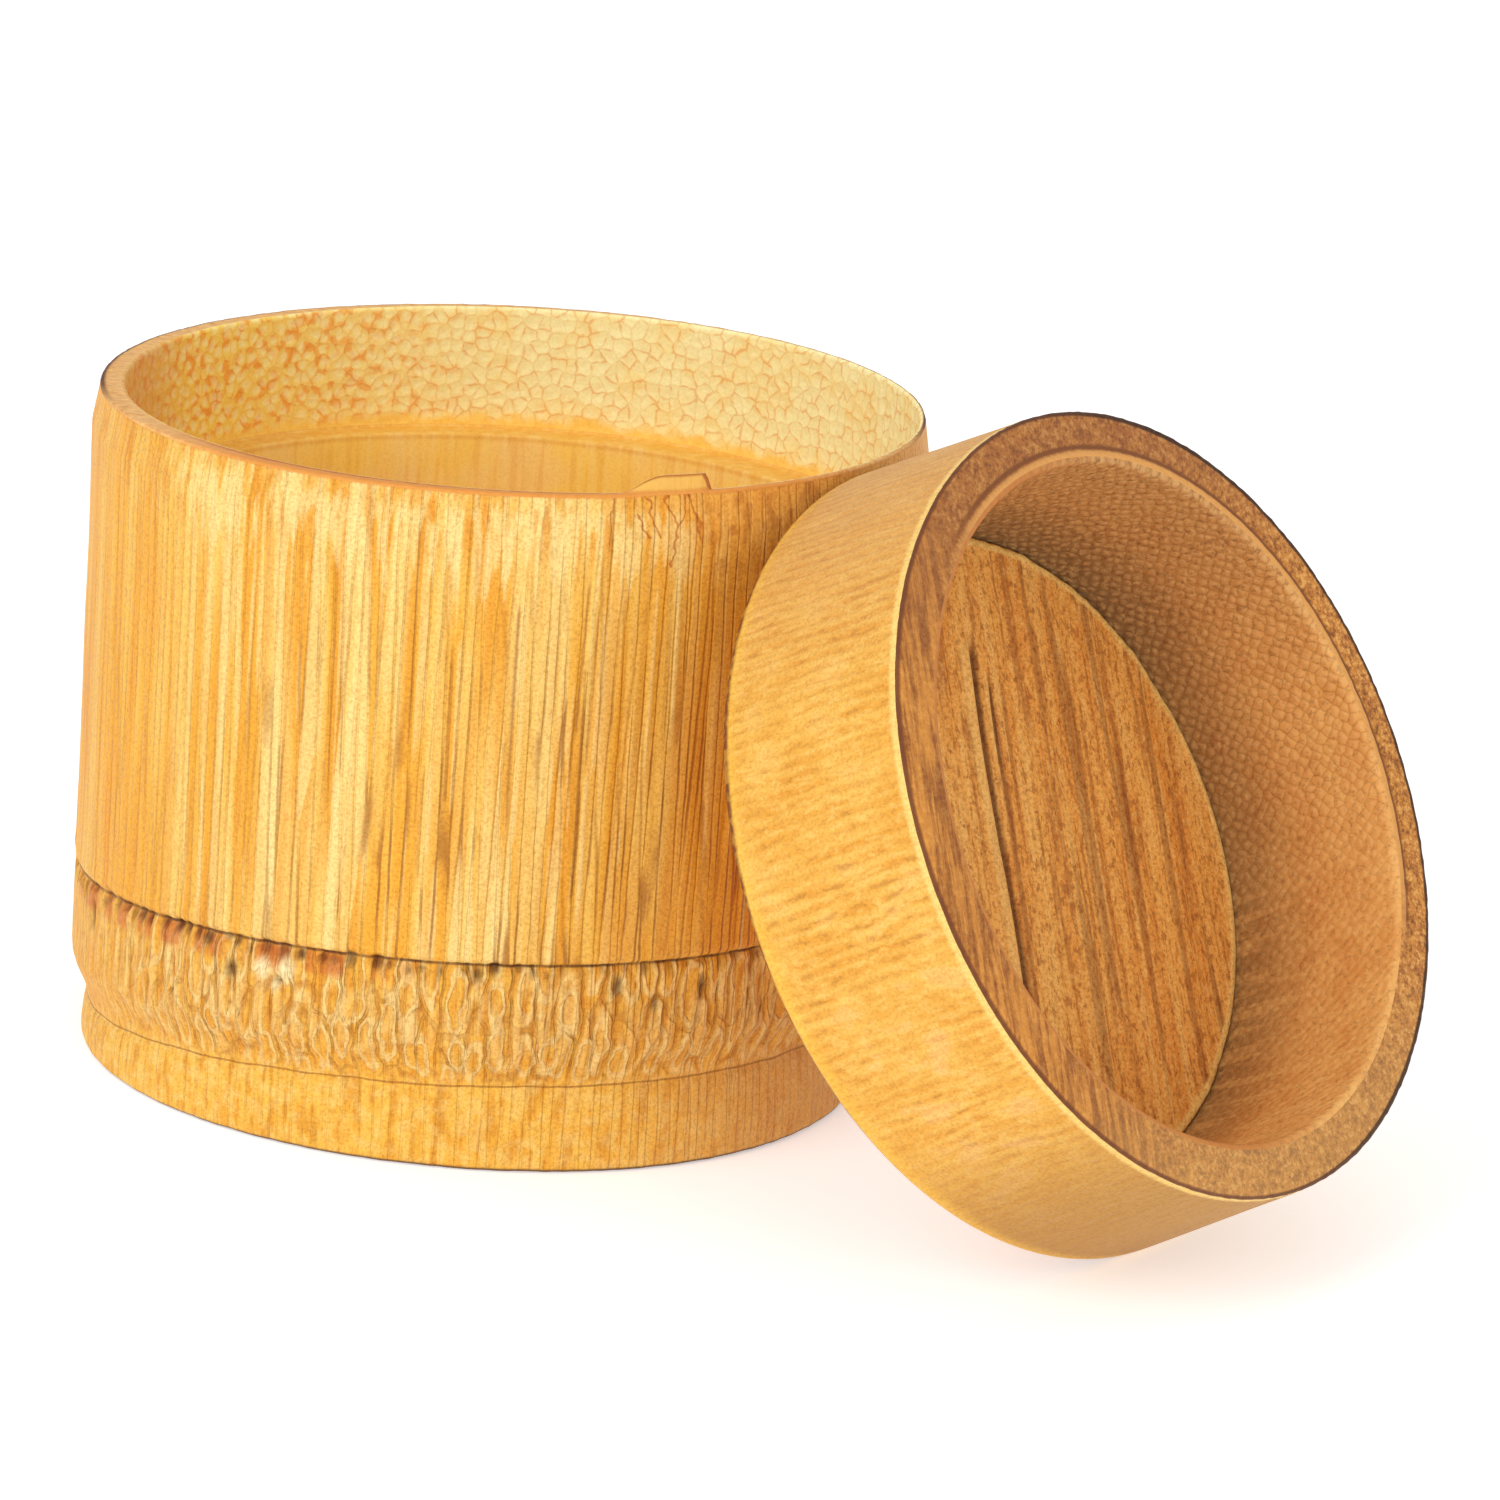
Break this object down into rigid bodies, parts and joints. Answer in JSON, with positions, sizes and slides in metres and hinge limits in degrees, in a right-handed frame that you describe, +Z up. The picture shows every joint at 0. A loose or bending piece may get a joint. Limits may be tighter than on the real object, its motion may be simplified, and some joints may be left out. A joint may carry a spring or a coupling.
{
  "type": "bamboo steamer cup with lid",
  "caption": "Round steaming cup turned from a bamboo culm, with a stepped foot that nests in the mouth of the next cup, and a loose culm lid leaning against it.",
  "frame": {"origin": "centre of the cup's foot, on the table", "axes": "+Z up the cup's axis; the lid leans on the side between +X and -Y; -Y faces the viewer"},
  "size_m": [0.1683, 0.1517, 0.097],
  "materials": {
    "cup_bamboo": "bare bamboo, scraped, turned and lightly oiled, with straight fibre streaks up the culm; satin",
    "cup_floor": "bare bamboo node wall, matt, with tangled fibres and drilled holes",
    "lid_bamboo": "bare bamboo, turned, with rows of short brown fibre dashes along its axis; satin",
    "lid_disc": "straight-grained bamboo board with one dark split, matt"
  },
  "bodies": {
    "cup": {"cup_tube": "cup_bamboo", "cup_floor": "cup_floor"},
    "lid": {"lid_ring": "lid_bamboo", "lid_disc": "lid_disc"}
  },
  "joints": [
    {"name": "lid_lift", "type": "slide", "parent": "cup", "child": "lid", "axis": [0, 0, 1], "range_m": [0, 0.12]}
  ]
}
